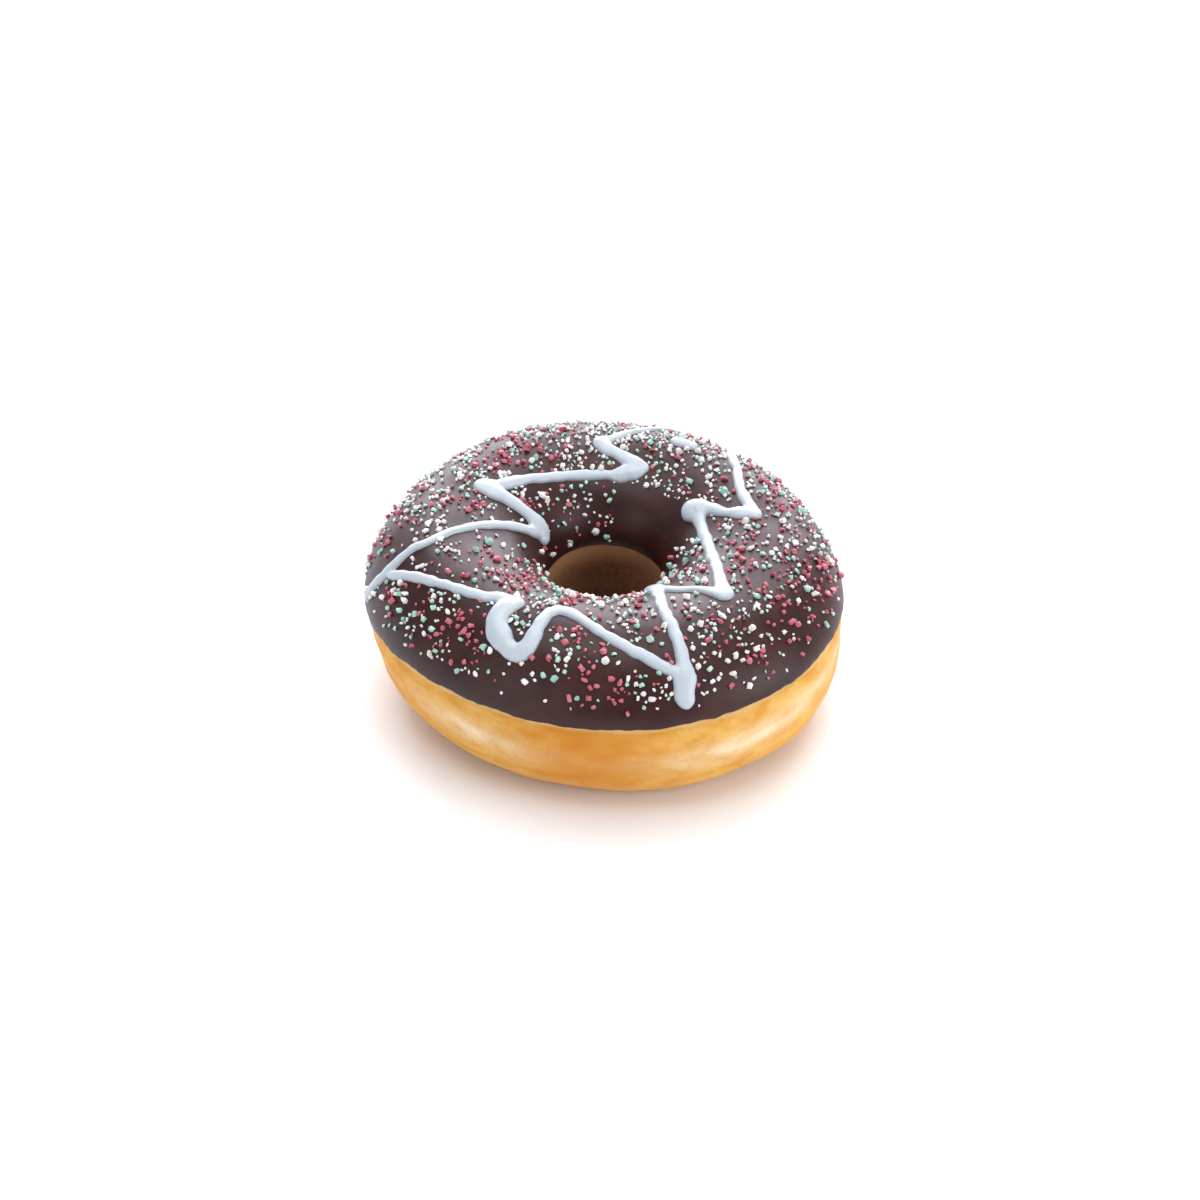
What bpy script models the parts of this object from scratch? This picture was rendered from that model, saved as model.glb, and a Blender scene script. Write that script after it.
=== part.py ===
"""A ring doughnut dipped in dark chocolate, with a white drizzle and sugar nibs on top.

There are two solids: the dough ring, and the chocolate shell that hugs its upper half, with the
drizzle and the largest nibs fused to it. Sizes below are in millimetres and the model is in metres.
+Z is up, and the origin is the middle of the foot that the ring stands on.

Every place on the ring is given by two angles. The azimuth goes round the ring, from +X towards +Y.
The turn goes round the ring's section: 0 is the outer side, 90 the crest, 180 the hole, 270 below.
"""

import math

import bmesh
import bpy
import numpy as np
from mathutils import Euler
from mathutils import Matrix
from mathutils import Vector
from mathutils.bvhtree import BVHTree

MM = 0.001

# The dough ring
OUTER_RADIUS = 44.4
HOLE_RADIUS = 12.5
CREST_RADIUS = 29.8
TOP_HEIGHT = 32.8
WIDEST_HEIGHT = 17.7
WAIST_HEIGHT = 20.3
FOOT_PRESSED_IN = 1.3
SHOULDER_SLACK = 0.05
BELLY_FULLNESS = 0.02

# How uneven the ring is: a (cosine, sine) pair in millimetres for one, two and three waves a round
OUTER_WAVES = ((0.0, 0.0), (-0.2, -1.2), (-0.4, -0.6))
HOLE_WAVES = ((-0.2, -0.1), (-0.6, 0.5))
TOP_WAVES = ((-1.2, 0.7),)
FOOT_WAVES = ((1.8, -0.2), (0.4, -0.4))

# The chocolate shell: its thickness, how thin it runs out, and the turns of its two edges.
# The dough is sunk a little where the shell covers it, which leaves the clearance between the two.
SHELL_THICKNESS = 1.2
SHELL_EDGE_THINNING = 0.25
SHELL_EDGE_BLUNTNESS = 6.0
SHELL_OUTER_EDGE = 13.0
SHELL_OUTER_WAVES = ((6.8, -1.5), (-2.9, 1.3), (0.3, -4.0))
SHELL_INNER_EDGE = 183.5
SHELL_INNER_WAVES = ((3.5, -3.2),)
SHELL_ROW_CROWDING = 0.4
DOUGH_SINK = 0.3
DOUGH_SINK_TURNS = (-12.0, -2.0)

# Facets
SEGMENTS_AROUND = 60
DOUGH_ROWS = 24
SHELL_ROWS = 13
TORUS_RADIUS = 0.03
TORUS_TUBE = 0.01
SLIVER = 0.01

# The drizzle, stroke by stroke: azimuth and turn in degrees and half width at each of its stations.
# The first stroke passes over the back. The azimuth runs on past 360 where a stroke crosses +X.
DRIZZLE = (
    ((9, 97, 1.2), (17, 98, 1.2), (27, 96, 1.05), (36, 87, 1.0), (45, 75, 1.0), (51, 58, 1.0),
     (58, 46, 1.2), (65, 52, 1.0), (70, 65, 0.8), (76, 80, 0.7), (86, 94, 1.0), (92, 101, 1.6)),
    ((92, 101, 1.6), (90, 106, 1.6), (84, 111, 1.3), (77, 116, 1.7), (71, 118, 0.9)),
    ((71, 118, 0.9), (77, 123, 1.9), (88, 127, 1.15), (118, 124, 1.05), (146, 113, 1.3),
     (155, 104, 1.6)),
    ((155, 104, 1.6), (155, 114, 1.8), (153, 136, 1.4), (153, 149, 1.6), (157, 157, 1.0)),
    ((160, 147, 1.5), (168, 138, 1.1), (183, 112, 0.95), (192, 82.5, 0.95), (192.5, 67, 1.05),
     (193, 47, 1.15), (190, 17, 1.1)),
    ((195, 46, 0.9), (203.5, 61.5, 1.0), (215, 74, 1.0), (226.5, 82.5, 1.1), (232, 88, 1.3),
     (238, 90, 1.3)),
    ((238, 90, 1.3), (236, 81, 1.9), (237, 69, 2.2), (241, 60, 2.15), (245.5, 54.5, 1.75),
     (248.3, 62, 1.55), (249.5, 87, 1.2), (252, 96, 1.15)),
    ((252, 96, 1.15), (258, 95, 1.15), (266, 84, 1.0), (279, 64, 1.05), (287, 49, 1.2)),
    ((288, 30, 1.6), (288, 36, 2.0), (289, 45, 1.9), (290, 64, 1.15), (291, 96, 1.1),
     (294, 113, 1.2), (300, 137, 1.5)),
    ((300, 137, 1.5), (304, 120, 0.9), (310, 109, 0.9), (313, 100, 1.2), (315, 92, 1.6)),
    ((315, 92, 1.6), (324, 106, 1.2), (342, 122, 1.2), (363, 130, 1.2), (380, 130.5, 1.3),
     (390, 129, 2.35)),
    ((390, 129, 2.35), (383, 120, 1.5), (376, 114, 1.1), (372, 105, 1.5), (369, 97, 1.2)),
    ((58, 86, 1.1), (64, 87, 1.3)),
)
DRIZZLE_STEP = 2.6
DRIZZLE_FLATNESS = 0.45
DRIZZLE_LIFT = 0.25
DRIZZLE_ROOT = 0.45
DRIZZLE_TIP_REACH = 0.6
DRIZZLE_TIP_WIDTH = 0.5
SPAN_SAMPLES = 8

# The largest nibs
NIB_COUNT = 120
NIB_SIZES = (1.2, 1.7)
NIB_SPACING = 3.4
NIB_LIFT = 0.18
NIB_ROUGHNESS = (0.8, 1.1)
NIB_SLENDERNESS = (0.7, 1.0)
NIB_CLEAR_OF_DRIZZLE = 1.3
NIB_CLEAR_OF_EDGE = 6.0
NIB_SPARSE_BELT = 26.0
NIB_SEED = 12

# The stretch of the hole's wall that the nibs missed: azimuths from and to, and the turn it starts at
BARE_WALL = (10.0, 85.0, 132.0)

DOUGH_COLOUR = (0.72, 0.36, 0.10, 1.0)
DOUGH_ROUGHNESS = 0.6
CHOCOLATE_COLOUR = (0.045, 0.022, 0.020, 1.0)
CHOCOLATE_ROUGHNESS = 0.35


def clear_scene():
    """Remove whatever the scene starts with."""
    for item in list(bpy.data.objects):
        bpy.data.objects.remove(item)


def make_collection(name):
    """A new collection under the scene's own."""
    collection = bpy.data.collections.new(name)
    bpy.context.scene.collection.children.link(collection)
    return collection


def put_in(collection, item):
    """Move an object into one collection."""
    for other in list(item.users_collection):
        other.objects.unlink(item)
    collection.objects.link(item)


def make_material(name, colour, roughness):
    """A plain Principled material."""
    material = bpy.data.materials.new(name)
    material.use_nodes = True
    shader = material.node_tree.nodes["Principled BSDF"]
    shader.inputs["Base Color"].default_value = colour
    shader.inputs["Roughness"].default_value = roughness
    shader.inputs["Metallic"].default_value = 0.0
    return material


def wave(azimuth, pairs):
    """Sum of the cosine and sine pairs, the first with one wave a round, the next with two."""
    total = 0.0 * azimuth
    for count, (cosine, sine) in enumerate(pairs, start=1):
        total = total + cosine * np.cos(count * azimuth) + sine * np.sin(count * azimuth)
    return total


def section(azimuth, turn):
    """Radius and height of the dough's surface, in millimetres.

    The section is an ellipse with its crest pushed outwards, its outer side widest below the hole's
    waist, a slack shoulder, a full belly and an underside pressed flat where it stands.
    """
    across = np.cos(turn)
    up = np.sin(turn)
    outer = OUTER_RADIUS + wave(azimuth, OUTER_WAVES)
    hole = HOLE_RADIUS + wave(azimuth, HOLE_WAVES)
    fullness = np.where(up >= 0.0, -SHOULDER_SLACK, BELLY_FULLNESS) * (across > 0.0)
    swell = 1.0 + fullness * np.sin(2.0 * turn) ** 2
    half_width = (outer - hole) / 2.0
    lean = (outer + hole) / 2.0 - CREST_RADIUS
    radius = CREST_RADIUS + half_width * across * swell + lean * across ** 2
    foot_shift = wave(azimuth, FOOT_WAVES) * up ** 2 * (1.0 + across) / 2.0
    radius = radius + np.where(up < 0.0, foot_shift, 0.0)

    middle = (WIDEST_HEIGHT * (1.0 + across) + WAIST_HEIGHT * (1.0 - across)) / 2.0
    above = TOP_HEIGHT + wave(azimuth, TOP_WAVES) - middle
    below = FOOT_PRESSED_IN + middle
    height = middle + np.where(up >= 0.0, above, below) * up * swell
    return radius, height


def ring_points(azimuth, turn, raised):
    """Points over the dough in metres, raised in millimetres along the section's normal."""
    azimuth = np.asarray(azimuth, dtype=float)
    turn = np.asarray(turn, dtype=float)
    nudge = 0.001
    radius, height = section(azimuth, turn)
    radius_ahead, height_ahead = section(azimuth, turn + nudge)
    radius_behind, height_behind = section(azimuth, turn - nudge)
    along_radius = radius_ahead - radius_behind
    along_height = height_ahead - height_behind
    length = np.hypot(along_radius, along_height)
    radius = radius + raised * along_height / length
    height = np.maximum(height - raised * along_radius / length, 0.0)
    return np.stack([radius * np.cos(azimuth), radius * np.sin(azimuth), height], axis=-1) * MM


def shell_edges(azimuth):
    """Turns of the chocolate's outer and inner edges, in radians."""
    outer = SHELL_OUTER_EDGE + wave(azimuth, SHELL_OUTER_WAVES)
    inner = SHELL_INNER_EDGE + wave(azimuth, SHELL_INNER_WAVES)
    return np.radians(outer), np.radians(inner)


def add_torus(name, rows, collection, material):
    """A torus primitive, and the azimuth and turn of each of its vertices."""
    bpy.ops.mesh.primitive_torus_add(major_radius=TORUS_RADIUS, minor_radius=TORUS_TUBE,
                                     major_segments=SEGMENTS_AROUND, minor_segments=rows)
    ring = bpy.context.object
    ring.name = name
    ring.data.name = name
    ring.data.materials.append(material)
    put_in(collection, ring)
    places = np.empty(len(ring.data.vertices) * 3)
    ring.data.vertices.foreach_get("co", places)
    x, y, z = places.reshape(-1, 3).T
    return ring, np.arctan2(y, x), np.arctan2(z, np.hypot(x, y) - TORUS_RADIUS)


def reshape(item, points):
    """Put every vertex of an object's mesh at its new point."""
    item.data.vertices.foreach_set("co", points.ravel())
    item.data.update()
    item.data.shade_smooth()


def make_dough(collection):
    """The dough ring: a torus whose round section becomes the dough's, sunk where the shell lies."""
    material = make_material("golden_dough", DOUGH_COLOUR, DOUGH_ROUGHNESS)
    dough, azimuth, turn = add_torus("dough", DOUGH_ROWS, collection, material)
    outer_edge, inner_edge = shell_edges(azimuth)
    full_turn = np.where(turn < -math.pi / 2.0, turn + 2.0 * math.pi, turn)
    inside = np.degrees(np.minimum(full_turn - outer_edge, inner_edge - full_turn))
    starts, ends = DOUGH_SINK_TURNS
    sunk = np.clip((inside - starts) / (ends - starts), 0.0, 1.0)
    reshape(dough, ring_points(azimuth, turn, -DOUGH_SINK * sunk))
    return dough


def make_shell(collection):
    """The chocolate shell: a torus pressed into a crescent that lies over the dough.

    The upper half of the torus's section becomes the shell's outer face, from its outer edge to its
    inner one, and the lower half becomes the face against the dough.
    """
    material = make_material("dark_chocolate", CHOCOLATE_COLOUR, CHOCOLATE_ROUGHNESS)
    shell, azimuth, tube_turn = add_torus("chocolate_glaze", 2 * SHELL_ROWS, collection, material)
    share = np.abs(tube_turn) / math.pi
    share = share - SHELL_ROW_CROWDING * np.sin(2.0 * math.pi * share) / (2.0 * math.pi)
    outer_edge, inner_edge = shell_edges(azimuth)
    turn = outer_edge + share * (inner_edge - outer_edge)
    rise = np.sqrt(np.clip(1.0 - np.abs(2.0 * share - 1.0) ** SHELL_EDGE_BLUNTNESS, 0.0, 1.0))
    edge_part = SHELL_EDGE_THINNING * (1.0 - rise)
    raised = SHELL_THICKNESS * (edge_part + rise * (tube_turn > 0.0))
    reshape(shell, ring_points(azimuth, turn, raised))
    return shell


def shell_surface(shell):
    """A search tree over the shell's faces that look away from the dough."""
    bm = bmesh.new()
    bm.from_mesh(shell.data)
    bm.normal_update()
    facing_dough = []
    for face in bm.faces:
        middle = face.calc_center_median()
        ring_middle = Vector((middle.x, middle.y, 0.0)).normalized() * (CREST_RADIUS * MM)
        ring_middle.z = WIDEST_HEIGHT * MM
        if face.normal.dot(middle - ring_middle) < 0.0:
            facing_dough.append(face)
    bmesh.ops.delete(bm, geom=facing_dough, context="FACES")
    tree = BVHTree.FromBMesh(bm)
    bm.free()
    return tree


def stroke_stations(stations):
    """Azimuth, turn and half width every DRIZZLE_STEP along a smooth curve through the stations.

    The curve is a Catmull-Rom spline in the two angles and the half width.
    """
    knots = np.array(stations, dtype=float)
    knots[:, :2] = np.radians(knots[:, :2])
    before = 2.0 * knots[0] - knots[1]
    after = 2.0 * knots[-1] - knots[-2]
    knots = np.vstack([before, knots, after])
    share = np.linspace(0.0, 1.0, SPAN_SAMPLES, endpoint=False)[:, None]
    fine = []
    for first, start, end, last in zip(knots, knots[1:], knots[2:], knots[3:]):
        slope = (end - first) / 2.0
        next_slope = (last - start) / 2.0
        bend = 3.0 * (end - start) - 2.0 * slope - next_slope
        twist = 2.0 * (start - end) + slope + next_slope
        fine.append(start + slope * share + bend * share ** 2 + twist * share ** 3)
    fine = np.vstack(fine + [knots[-2:-1]])
    points = ring_points(fine[:, 0], fine[:, 1], SHELL_THICKNESS)
    lengths = np.linalg.norm(np.diff(points, axis=0), axis=1) / MM
    travelled = np.concatenate([[0.0], np.cumsum(lengths)])
    steps = max(2, round(travelled[-1] / DRIZZLE_STEP) + 1)
    stops = np.linspace(0.0, travelled[-1], steps)
    return np.stack([np.interp(stops, travelled, column) for column in fine.T], axis=-1)


def with_round_tips(points, half_widths):
    """The stroke's points and widths with a narrower point added beyond each end."""
    tips = []
    for end, inside, half_width in ((points[0], points[1], half_widths[0]),
                                    (points[-1], points[-2], half_widths[-1])):
        outwards = (end - inside) / np.linalg.norm(end - inside)
        tips.append(end + outwards * half_width * DRIZZLE_TIP_REACH * MM)
    points = np.vstack([tips[0], points, tips[1]])
    ends = DRIZZLE_TIP_WIDTH * half_widths[[0, -1]]
    return points, np.concatenate([ends[:1], half_widths, ends[1:]])


def curve_to_mesh(item):
    """Replace a curve object by a closed mesh object of the same name."""
    bpy.context.view_layer.update()
    evaluated = item.evaluated_get(bpy.context.evaluated_depsgraph_get())
    mesh = bpy.data.meshes.new_from_object(evaluated)
    name = item.name
    collection = item.users_collection[0]
    place = item.matrix_world.copy()
    bpy.data.objects.remove(item)
    bm = bmesh.new()
    bm.from_mesh(mesh)
    bmesh.ops.remove_doubles(bm, verts=bm.verts, dist=0.00001)
    bmesh.ops.recalc_face_normals(bm, faces=bm.faces)
    bm.to_mesh(mesh)
    bm.free()
    solid = bpy.data.objects.new(name, mesh)
    solid.matrix_world = place
    collection.objects.link(solid)
    return solid


def press_onto(item, surface):
    """Flatten a tube onto the shell, its underside sunk a little way in."""
    for vertex in item.data.vertices:
        foot, normal, _, _ = surface.find_nearest(vertex.co)
        height = (vertex.co - foot).dot(normal)
        pressed = height * DRIZZLE_FLATNESS + DRIZZLE_LIFT * MM
        vertex.co = foot + normal * max(pressed, -DRIZZLE_ROOT * MM)
    item.data.update()


def make_stroke(number, stations, surface, collection):
    """One stroke of the drizzle: a tube of varying width, flattened onto the shell."""
    path = stroke_stations(stations)
    points = ring_points(path[:, 0], path[:, 1], SHELL_THICKNESS)
    points, half_widths = with_round_tips(points, path[:, 2])
    curve = bpy.data.curves.new("drizzle_%02d" % number, "CURVE")
    curve.dimensions = "3D"
    curve.bevel_depth = MM
    curve.bevel_resolution = 1
    curve.use_fill_caps = True
    spline = curve.splines.new("POLY")
    spline.points.add(len(points) - 1)
    for point, place, half_width in zip(spline.points, points, half_widths):
        point.co = (place[0], place[1], place[2], 1.0)
        point.radius = half_width
    item = bpy.data.objects.new(curve.name, curve)
    collection.objects.link(item)
    stroke = curve_to_mesh(item)
    press_onto(stroke, surface)
    return stroke


def drizzle_cover():
    """Points along all the strokes in metres, with the half width at each."""
    paths = np.vstack([stroke_stations(stations) for stations in DRIZZLE])
    points = ring_points(paths[:, 0], paths[:, 1], SHELL_THICKNESS)
    return points, paths[:, 2] * MM


def nib_places():
    """Azimuth, turn and size of the largest nibs.

    Places are drawn evenly by area over the chocolate, but seldom just above its outer edge. They are
    kept where they are clear of its edges, the bare wall, the drizzle and the nibs kept before.
    """
    rng = np.random.default_rng(NIB_SEED)
    stroke_points, stroke_widths = drizzle_cover()
    kept = []
    kept_points = np.empty((0, 3))
    while len(kept) < NIB_COUNT:
        azimuth, share, luck, belt_luck = rng.uniform(0.0, 1.0, 4)
        azimuth = azimuth * 2.0 * math.pi
        outer_edge, inner_edge = shell_edges(azimuth)
        turn = outer_edge + share * (inner_edge - outer_edge)
        radius, _ = section(azimuth, turn)
        above_edge = math.degrees(turn - outer_edge)
        below_edge = math.degrees(inner_edge - turn)
        if min(above_edge, below_edge) < NIB_CLEAR_OF_EDGE or belt_luck * NIB_SPARSE_BELT > above_edge:
            continue
        wall_from, wall_to, wall_turn = np.radians(BARE_WALL)
        on_bare_wall = wall_from < azimuth < wall_to and turn > wall_turn
        if on_bare_wall or luck * OUTER_RADIUS > radius:
            continue
        point = ring_points(azimuth, turn, SHELL_THICKNESS)
        gaps = np.linalg.norm(stroke_points - point, axis=1) - stroke_widths
        if gaps.min() < NIB_CLEAR_OF_DRIZZLE * MM:
            continue
        if len(kept) and np.linalg.norm(kept_points - point, axis=1).min() < NIB_SPACING * MM:
            continue
        kept.append((azimuth, turn, rng.uniform(*NIB_SIZES)))
        kept_points = np.vstack([kept_points, point])
    return kept


def make_nibs(surface, collection):
    """The largest sugar nibs: uneven twenty-sided grains sunk a little way into the shell."""
    rng = np.random.default_rng(NIB_SEED)
    bm = bmesh.new()
    for azimuth, turn, size in nib_places():
        point = Vector(ring_points(azimuth, turn, SHELL_THICKNESS))
        foot, normal, _, _ = surface.find_nearest(point)
        grain = bmesh.ops.create_icosphere(bm, subdivisions=1, radius=size * MM / 2.0)["verts"]
        for vertex in grain:
            vertex.co *= rng.uniform(*NIB_ROUGHNESS)
        slim = Matrix.Diagonal(Vector(rng.uniform(*NIB_SLENDERNESS, 3).tolist())).to_4x4()
        spin = Euler(rng.uniform(0.0, 2.0 * math.pi, 3).tolist()).to_matrix().to_4x4()
        place = Matrix.Translation(foot + normal * size * NIB_LIFT * MM)
        bmesh.ops.transform(bm, matrix=place @ spin @ slim, verts=grain)
    mesh = bpy.data.meshes.new("nibs")
    bm.to_mesh(mesh)
    bm.free()
    nibs = bpy.data.objects.new("nibs", mesh)
    collection.objects.link(nibs)
    return nibs


def fuse(base, toppings):
    """Join a collection's objects to the base with one Boolean union, and remove them."""
    union = base.modifiers.new("fuse", "BOOLEAN")
    union.operation = "UNION"
    union.solver = "EXACT"
    union.operand_type = "COLLECTION"
    union.collection = toppings
    bpy.context.view_layer.update()
    evaluated = base.evaluated_get(bpy.context.evaluated_depsgraph_get())
    fused = bpy.data.meshes.new_from_object(evaluated)
    base.modifiers.remove(union)
    base.data = fused
    for item in list(toppings.objects):
        bpy.data.objects.remove(item)
    bpy.data.collections.remove(toppings)


def tidy_union(item):
    """Drop scraps and sealed hollows, so all but the largest patch of faces, and sliver faces."""
    bm = bmesh.new()
    bm.from_mesh(item.data)
    bmesh.ops.triangulate(bm, faces=bm.faces)
    bmesh.ops.dissolve_degenerate(bm, dist=SLIVER * MM, edges=bm.edges)
    bmesh.ops.triangulate(bm, faces=bm.faces)
    unseen = set(bm.faces)
    patches = []
    while unseen:
        patch = {unseen.pop()}
        frontier = list(patch)
        while frontier:
            face = frontier.pop()
            for edge in face.edges:
                for neighbour in edge.link_faces:
                    if neighbour in unseen:
                        unseen.remove(neighbour)
                        patch.add(neighbour)
                        frontier.append(neighbour)
        patches.append(patch)
    patches.sort(key=len)
    for patch in patches[:-1]:
        bmesh.ops.delete(bm, geom=list(patch), context="FACES")
    bm.to_mesh(item.data)
    bm.free()


def centre_over_origin(items):
    """Shift the objects' meshes together, so that their common box is centred on the origin."""
    corners = [vertex.co for item in items for vertex in item.data.vertices]
    middle_x = (min(co.x for co in corners) + max(co.x for co in corners)) / 2.0
    middle_y = (min(co.y for co in corners) + max(co.y for co in corners)) / 2.0
    for item in items:
        item.data.transform(Matrix.Translation((-middle_x, -middle_y, 0.0)))


def main():
    clear_scene()
    doughnut = make_collection("doughnut")
    toppings = make_collection("toppings")
    dough = make_dough(doughnut)
    glaze = make_shell(doughnut)
    surface = shell_surface(glaze)
    for number, stations in enumerate(DRIZZLE):
        make_stroke(number, stations, surface, toppings)
    make_nibs(surface, toppings)
    fuse(glaze, toppings)
    tidy_union(glaze)
    centre_over_origin([dough, glaze])


main()
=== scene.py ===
import math

import bpy
import numpy as np
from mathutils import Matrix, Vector


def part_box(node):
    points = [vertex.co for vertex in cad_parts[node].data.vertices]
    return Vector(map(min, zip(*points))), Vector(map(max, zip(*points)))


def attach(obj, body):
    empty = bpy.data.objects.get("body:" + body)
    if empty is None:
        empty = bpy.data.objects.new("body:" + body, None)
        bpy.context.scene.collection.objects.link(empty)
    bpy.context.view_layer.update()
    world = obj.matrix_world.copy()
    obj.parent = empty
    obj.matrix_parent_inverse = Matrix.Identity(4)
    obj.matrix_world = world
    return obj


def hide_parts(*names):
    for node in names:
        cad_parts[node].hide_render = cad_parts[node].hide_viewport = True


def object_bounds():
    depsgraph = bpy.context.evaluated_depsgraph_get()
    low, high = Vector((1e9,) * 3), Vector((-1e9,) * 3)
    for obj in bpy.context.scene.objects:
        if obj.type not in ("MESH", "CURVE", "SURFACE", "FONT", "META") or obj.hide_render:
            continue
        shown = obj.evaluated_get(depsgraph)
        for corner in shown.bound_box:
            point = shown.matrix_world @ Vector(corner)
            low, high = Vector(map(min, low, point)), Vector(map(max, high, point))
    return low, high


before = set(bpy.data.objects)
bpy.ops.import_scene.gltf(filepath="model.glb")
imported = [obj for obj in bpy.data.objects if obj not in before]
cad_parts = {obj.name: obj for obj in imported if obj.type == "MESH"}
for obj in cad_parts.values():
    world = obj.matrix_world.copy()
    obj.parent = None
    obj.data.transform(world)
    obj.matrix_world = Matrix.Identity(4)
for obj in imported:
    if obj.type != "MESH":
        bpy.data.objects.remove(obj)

# The looks of a ring doughnut dipped in dark chocolate, with white drizzle and sugar nibs.
# A place on the ring is an azimuth, counted from +X towards +Y, and a turn round the ring's section:
# 0 on the outer side, 90 on the crest, 180 in the hole and 270 underneath. Sizes are in millimetres.

mm = 0.001
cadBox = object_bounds()
print("frame loaded")


# Colours and nodes

# sRGB hex to linear: c / 12.92 up to 0.04045, above it ((c + 0.055) / 1.055) to the power 2.4
def linear(hexColour):
    parts = [int(hexColour[i:i + 2], 16) / 255 for i in (0, 2, 4)]
    return [c / 12.92 if c <= 0.04045 else ((c + 0.055) / 1.055) ** 2.4 for c in parts] + [1.0]


# adds a node; an input given as (node, output) is linked, a list of stops goes into a colour ramp
def addNode(tree, kind, settings=None, inputs=None, stops=None):
    node = tree.nodes.new(kind)
    for key, value in (settings or {}).items():
        setattr(node, key, value)
    for key, value in (inputs or {}).items():
        if isinstance(value, tuple):
            tree.links.new(value[0].outputs[value[1]], node.inputs[key])
        else:
            node.inputs[key].default_value = value
    for number, (place, colour) in enumerate(stops or []):
        if number < 2:
            stop = node.color_ramp.elements[number]
            stop.position = place
        else:
            stop = node.color_ramp.elements.new(place)
        stop.color = colour
    return node


# an empty material with its Principled shader, whose constant sockets are set from a dictionary
def startMaterial(name, sockets):
    material = bpy.data.materials.new(name)
    material.use_nodes = True
    tree = material.node_tree
    shader = tree.nodes["Principled BSDF"]
    for key, value in sockets.items():
        shader.inputs[key].default_value = value
    return material, tree, shader


# Shapes

ring = {
    "outerRadius": 44.4, "holeRadius": 12.5, "crestRadius": 29.8,
    "topHeight": 32.8, "widestHeight": 17.7, "waistHeight": 20.3, "footPressedIn": 1.3,
    "shoulderSlack": 0.05, "bellyFullness": 0.02,
    # how uneven the ring is: a (cosine, sine) pair for one, two and three waves a round
    "outerWaves": ((0.0, 0.0), (-0.2, -1.2), (-0.4, -0.6)),
    "holeWaves": ((-0.2, -0.1), (-0.6, 0.5)),
    "topWaves": ((-1.2, 0.7),),
    "footWaves": ((1.8, -0.2), (0.4, -0.4)),
}


# sum over n of cosine_n * cos(n * azimuth) + sine_n * sin(n * azimuth)
def wave(azimuth, pairs):
    total = 0.0 * azimuth
    for count, (cosine, sine) in enumerate(pairs, start=1):
        total = total + cosine * np.cos(count * azimuth) + sine * np.sin(count * azimuth)
    return total


# radius and height of the dough: an ellipse, radius = crest + halfWidth * cos(turn) + lean * cos(turn)^2
# and height = middle + half height * sin(turn), with the middle lower on the outer side than in the hole
def section(azimuth, turn):
    across, up = np.cos(turn), np.sin(turn)
    outer = ring["outerRadius"] + wave(azimuth, ring["outerWaves"])
    hole = ring["holeRadius"] + wave(azimuth, ring["holeWaves"])
    fullness = np.where(up >= 0, -ring["shoulderSlack"], ring["bellyFullness"]) * (across > 0)
    swell = 1 + fullness * np.sin(2 * turn) ** 2
    lean = (outer + hole) / 2 - ring["crestRadius"]
    radius = ring["crestRadius"] + (outer - hole) / 2 * across * swell + lean * across ** 2
    footShift = wave(azimuth, ring["footWaves"]) * up ** 2 * (1 + across) / 2
    radius = radius + np.where(up < 0, footShift, 0)
    middle = (ring["widestHeight"] * (1 + across) + ring["waistHeight"] * (1 - across)) / 2
    above = ring["topHeight"] + wave(azimuth, ring["topWaves"]) - middle
    below = ring["footPressedIn"] + middle
    return radius, middle + np.where(up >= 0, above, below) * up * swell


# points in millimetres: the section, raised along its normal (d height, -d radius) / length, then turned
# round the ring by x = radius * cos(azimuth), y = radius * sin(azimuth); nothing goes below the floor
def ringPoints(azimuth, turn, raised):
    azimuth, turn = np.broadcast_arrays(np.asarray(azimuth, float), np.asarray(turn, float))
    nudge = 0.001
    radius, height = section(azimuth, turn)
    radiusAhead, heightAhead = section(azimuth, turn + nudge)
    radiusBehind, heightBehind = section(azimuth, turn - nudge)
    alongRadius, alongHeight = radiusAhead - radiusBehind, heightAhead - heightBehind
    length = np.hypot(alongRadius, alongHeight)
    radius = radius + raised * alongHeight / length
    height = np.maximum(height - raised * alongRadius / length, 0)
    return np.stack([radius * np.cos(azimuth), radius * np.sin(azimuth), height], axis=-1)


# the middle of the dough's box in the frame, less the middle of the same ring drawn round its hole
def findRingShift():
    azimuth, turn = np.meshgrid(np.linspace(0, 2 * math.pi, 361), np.linspace(-1.5, 1.5, 61))
    drawn = ringPoints(azimuth, turn, 0.0).reshape(-1, 3)
    low, high = (np.array(corner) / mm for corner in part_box("dough"))
    shift = (low + high) / 2 - (drawn.min(axis=0) + drawn.max(axis=0)) / 2
    return np.array([shift[0], shift[1], 0.0])


ringShift = findRingShift()


# smooth unevenness between about -1 and 1: the mean of plane waves with drawn directions and phases
def unevenness(points, wavelength, seed, waves=24):
    rng = np.random.default_rng(seed)
    directions = rng.normal(size=(3, waves))
    directions *= 2 * math.pi / wavelength / np.linalg.norm(directions, axis=0)
    phases = rng.uniform(0, 2 * math.pi, waves)
    return np.sin(points @ directions + phases).sum(axis=-1) / math.sqrt(waves)


# a rise from 0 to 1 between two values: 3 s^2 - 2 s^3
def smoothStep(value, start, end):
    share = np.clip((value - start) / (end - start), 0, 1)
    return share * share * (3 - 2 * share)


# points in millimetres, held within the solid's box
def withinBox(points):
    low, high = (np.array(corner) / mm - ringShift for corner in cadBox)
    return np.clip(points, low, high)


# a mesh object from points in millimetres and faces, shifted to where the CAD ring stands
def makePiece(name, points, faces, smooth=True):
    mesh = bpy.data.meshes.new(name)
    mesh.from_pydata((points.reshape(-1, 3) + ringShift) * mm, [], faces)
    if smooth:
        mesh.shade_smooth()
    piece = bpy.data.objects.new(name, mesh)
    bpy.context.scene.collection.objects.link(piece)
    return piece


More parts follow.
